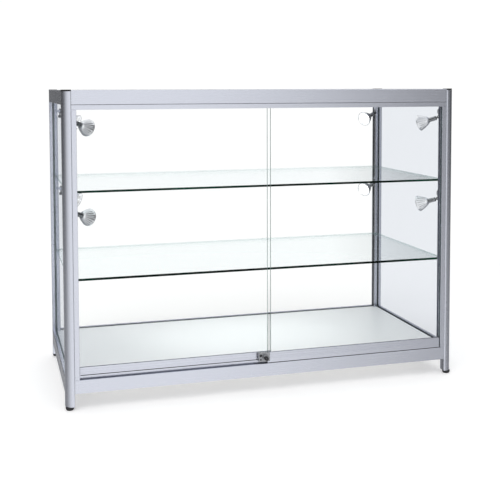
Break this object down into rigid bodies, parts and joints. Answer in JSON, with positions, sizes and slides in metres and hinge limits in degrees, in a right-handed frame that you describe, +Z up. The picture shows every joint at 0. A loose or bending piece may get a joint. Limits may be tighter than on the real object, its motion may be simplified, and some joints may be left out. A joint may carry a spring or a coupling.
{
  "type": "glass display showcase",
  "caption": "Counter-height glass display showcase with an aluminium frame, glass shelves, sliding glass doors with a plunger lock, and corner spotlights.",
  "frame": {"origin": "on the floor, at the middle of the case's footprint", "axes": "+X along the case to the right as seen from the door side, +Y from the doors to the customer side, +Z up"},
  "size_m": [1.2, 0.5739, 0.9],
  "materials": {
    "frame_aluminium": "satin anodised silver",
    "clear_glass": "clear float glass with green edges",
    "white_board": "white melamine faced board",
    "black_plastic": "black moulded",
    "chrome": "polished",
    "lamp_metal": "fluted reflector, bright",
    "nylon": "off-white nylon"
  },
  "bodies": {
    "case": {"post_rear_right": "frame_aluminium", "post_cap_rear_right": "black_plastic", "shelf_strip_rear_right": "frame_aluminium", "post_rear_left": "frame_aluminium", "post_cap_rear_left": "black_plastic", "shelf_strip_rear_left": "frame_aluminium", "post_front_left": "frame_aluminium", "post_cap_front_left": "black_plastic", "shelf_strip_front_left": "frame_aluminium", "post_front_right": "frame_aluminium", "post_cap_front_right": "black_plastic", "shelf_strip_front_right": "frame_aluminium", "base_rail_door_side": "frame_aluminium", "top_rail_door_side": "frame_aluminium", "base_rail_right": "frame_aluminium", "top_rail_right": "frame_aluminium", "base_rail_rear": "frame_aluminium", "top_rail_rear": "frame_aluminium", "base_rail_left": "frame_aluminium", "top_rail_left": "frame_aluminium", "glass_right": "clear_glass", "glass_rear": "clear_glass", "glass_left": "clear_glass", "glass_top": "clear_glass", "deck_board": "white_board", "shelf_lower": "clear_glass", "shelf_upper": "clear_glass", "jamb_left": "frame_aluminium", "jamb_right": "frame_aluminium", "lamp_transformer": "black_plastic"},
    "foot_rear_right": {"levelling_foot_rear_right": "black_plastic"},
    "foot_rear_left": {"levelling_foot_rear_left": "black_plastic"},
    "foot_front_left": {"levelling_foot_front_left": "black_plastic"},
    "foot_front_right": {"levelling_foot_front_right": "black_plastic"},
    "door_left": {"door_glass_left": "clear_glass", "door_shoe_left": "frame_aluminium"},
    "roller_left_a": {"door_roller_left_a": "nylon"},
    "roller_left_b": {"door_roller_left_b": "nylon"},
    "door_right": {"door_glass_right": "clear_glass", "door_shoe_right": "frame_aluminium", "lock_housing": "chrome"},
    "roller_right_a": {"door_roller_right_a": "nylon"},
    "roller_right_b": {"door_roller_right_b": "nylon"},
    "plunger": {"lock_plunger": "chrome"},
    "arm_lower_rear_right": {"lamp_arm_lower_rear_right": "chrome"},
    "head_lower_rear_right": {"lamp_head_lower_rear_right": "lamp_metal"},
    "arm_upper_rear_right": {"lamp_arm_upper_rear_right": "chrome"},
    "head_upper_rear_right": {"lamp_head_upper_rear_right": "lamp_metal"},
    "arm_lower_rear_left": {"lamp_arm_lower_rear_left": "chrome"},
    "head_lower_rear_left": {"lamp_head_lower_rear_left": "lamp_metal"},
    "arm_upper_rear_left": {"lamp_arm_upper_rear_left": "chrome"},
    "head_upper_rear_left": {"lamp_head_upper_rear_left": "lamp_metal"},
    "arm_lower_front_left": {"lamp_arm_lower_front_left": "chrome"},
    "head_lower_front_left": {"lamp_head_lower_front_left": "lamp_metal"},
    "arm_upper_front_left": {"lamp_arm_upper_front_left": "chrome"},
    "head_upper_front_left": {"lamp_head_upper_front_left": "lamp_metal"},
    "arm_lower_front_right": {"lamp_arm_lower_front_right": "chrome"},
    "head_lower_front_right": {"lamp_head_lower_front_right": "lamp_metal"},
    "arm_upper_front_right": {"lamp_arm_upper_front_right": "chrome"},
    "head_upper_front_right": {"lamp_head_upper_front_right": "lamp_metal"}
  },
  "joints": [
    {"name": "foot_rear_right_turn", "type": "hinge", "parent": "case", "child": "foot_rear_right", "pos_m": [0.5875, 0.2675, 0.02], "axis": [0, 0, 1], "continuous": true},
    {"name": "foot_rear_left_turn", "type": "hinge", "parent": "case", "child": "foot_rear_left", "pos_m": [-0.5875, 0.2675, 0.02], "axis": [0, 0, 1], "continuous": true},
    {"name": "foot_front_left_turn", "type": "hinge", "parent": "case", "child": "foot_front_left", "pos_m": [-0.5875, -0.2675, 0.02], "axis": [0, 0, 1], "continuous": true},
    {"name": "foot_front_right_turn", "type": "hinge", "parent": "case", "child": "foot_front_right", "pos_m": [0.5875, -0.2675, 0.02], "axis": [0, 0, 1], "continuous": true},
    {"name": "door_left_slide", "type": "slide", "parent": "case", "child": "door_left", "axis": [1, 0, 0], "range_m": [0, 0.55]},
    {"name": "roller_left_a_roll", "type": "hinge", "parent": "door_left", "child": "roller_left_a", "pos_m": [-0.498, -0.2608, 0.0833], "axis": [0, 1, 0], "range_deg": [0, 4507]},
    {"name": "roller_left_b_roll", "type": "hinge", "parent": "door_left", "child": "roller_left_b", "pos_m": [-0.053, -0.2608, 0.0833], "axis": [0, 1, 0], "range_deg": [0, 4507]},
    {"name": "door_right_slide", "type": "slide", "parent": "case", "child": "door_right", "axis": [1, 0, 0], "range_m": [-0.52, 0]},
    {"name": "roller_right_a_roll", "type": "hinge", "parent": "door_right", "child": "roller_right_a", "pos_m": [0.053, -0.2718, 0.0833], "axis": [0, 1, 0], "range_deg": [-4262, 0]},
    {"name": "roller_right_b_roll", "type": "hinge", "parent": "door_right", "child": "roller_right_b", "pos_m": [0.498, -0.2718, 0.0833], "axis": [0, 1, 0], "range_deg": [-4262, 0]},
    {"name": "lock_push", "type": "slide", "parent": "door_right", "child": "plunger", "axis": [0, 1, 0], "range_m": [0, 0.006], "stiffness_N_per_m": 300, "springref_m": -0.002},
    {"name": "lamp_lower_rear_right_pan", "type": "hinge", "parent": "case", "child": "arm_lower_rear_right", "pos_m": [0.566, 0.245, 0.553], "axis": [0, 0, 1], "range_deg": [-10, 40]},
    {"name": "lamp_lower_rear_right_tilt", "type": "hinge", "parent": "arm_lower_rear_right", "child": "head_lower_rear_right", "pos_m": [0.566, 0.245, 0.553], "axis": [0.5, -0.866, 0], "range_deg": [-17, 35]},
    {"name": "lamp_upper_rear_right_pan", "type": "hinge", "parent": "case", "child": "arm_upper_rear_right", "pos_m": [0.566, 0.245, 0.81], "axis": [0, 0, 1], "range_deg": [-10, 40]},
    {"name": "lamp_upper_rear_right_tilt", "type": "hinge", "parent": "arm_upper_rear_right", "child": "head_upper_rear_right", "pos_m": [0.566, 0.245, 0.81], "axis": [0.5, -0.866, 0], "range_deg": [-17, 35]},
    {"name": "lamp_lower_rear_left_pan", "type": "hinge", "parent": "case", "child": "arm_lower_rear_left", "pos_m": [-0.566, 0.245, 0.553], "axis": [0, 0, 1], "range_deg": [-40, 10]},
    {"name": "lamp_lower_rear_left_tilt", "type": "hinge", "parent": "arm_lower_rear_left", "child": "head_lower_rear_left", "pos_m": [-0.566, 0.245, 0.553], "axis": [0.5, 0.866, 0], "range_deg": [-17, 35]},
    {"name": "lamp_upper_rear_left_pan", "type": "hinge", "parent": "case", "child": "arm_upper_rear_left", "pos_m": [-0.566, 0.245, 0.81], "axis": [0, 0, 1], "range_deg": [-40, 10]},
    {"name": "lamp_upper_rear_left_tilt", "type": "hinge", "parent": "arm_upper_rear_left", "child": "head_upper_rear_left", "pos_m": [-0.566, 0.245, 0.81], "axis": [0.5, 0.866, 0], "range_deg": [-17, 35]},
    {"name": "lamp_lower_front_left_pan", "type": "hinge", "parent": "case", "child": "arm_lower_front_left", "pos_m": [-0.566, -0.245, 0.553], "axis": [0, 0, 1], "range_deg": [-25, 25]},
    {"name": "lamp_lower_front_left_tilt", "type": "hinge", "parent": "arm_lower_front_left", "child": "head_lower_front_left", "pos_m": [-0.566, -0.245, 0.553], "axis": [-0.7071, 0.7071, 0], "range_deg": [-17, 35]},
    {"name": "lamp_upper_front_left_pan", "type": "hinge", "parent": "case", "child": "arm_upper_front_left", "pos_m": [-0.566, -0.245, 0.81], "axis": [0, 0, 1], "range_deg": [-25, 25]},
    {"name": "lamp_upper_front_left_tilt", "type": "hinge", "parent": "arm_upper_front_left", "child": "head_upper_front_left", "pos_m": [-0.566, -0.245, 0.81], "axis": [-0.7071, 0.7071, 0], "range_deg": [-17, 35]},
    {"name": "lamp_lower_front_right_pan", "type": "hinge", "parent": "case", "child": "arm_lower_front_right", "pos_m": [0.566, -0.245, 0.553], "axis": [0, 0, 1], "range_deg": [-25, 25]},
    {"name": "lamp_lower_front_right_tilt", "type": "hinge", "parent": "arm_lower_front_right", "child": "head_lower_front_right", "pos_m": [0.566, -0.245, 0.553], "axis": [-0.7071, -0.7071, 0], "range_deg": [-17, 35]},
    {"name": "lamp_upper_front_right_pan", "type": "hinge", "parent": "case", "child": "arm_upper_front_right", "pos_m": [0.566, -0.245, 0.81], "axis": [0, 0, 1], "range_deg": [-25, 25]},
    {"name": "lamp_upper_front_right_tilt", "type": "hinge", "parent": "arm_upper_front_right", "child": "head_upper_front_right", "pos_m": [0.566, -0.245, 0.81], "axis": [-0.7071, -0.7071, 0], "range_deg": [-17, 35]}
  ],
  "couplings": [
    {"joint": "roller_left_a_roll", "follows": "door_left_slide", "rad_per_m": 142.86},
    {"joint": "roller_left_b_roll", "follows": "door_left_slide", "rad_per_m": 142.86},
    {"joint": "roller_right_a_roll", "follows": "door_right_slide", "rad_per_m": 142.86},
    {"joint": "roller_right_b_roll", "follows": "door_right_slide", "rad_per_m": 142.86}
  ]
}
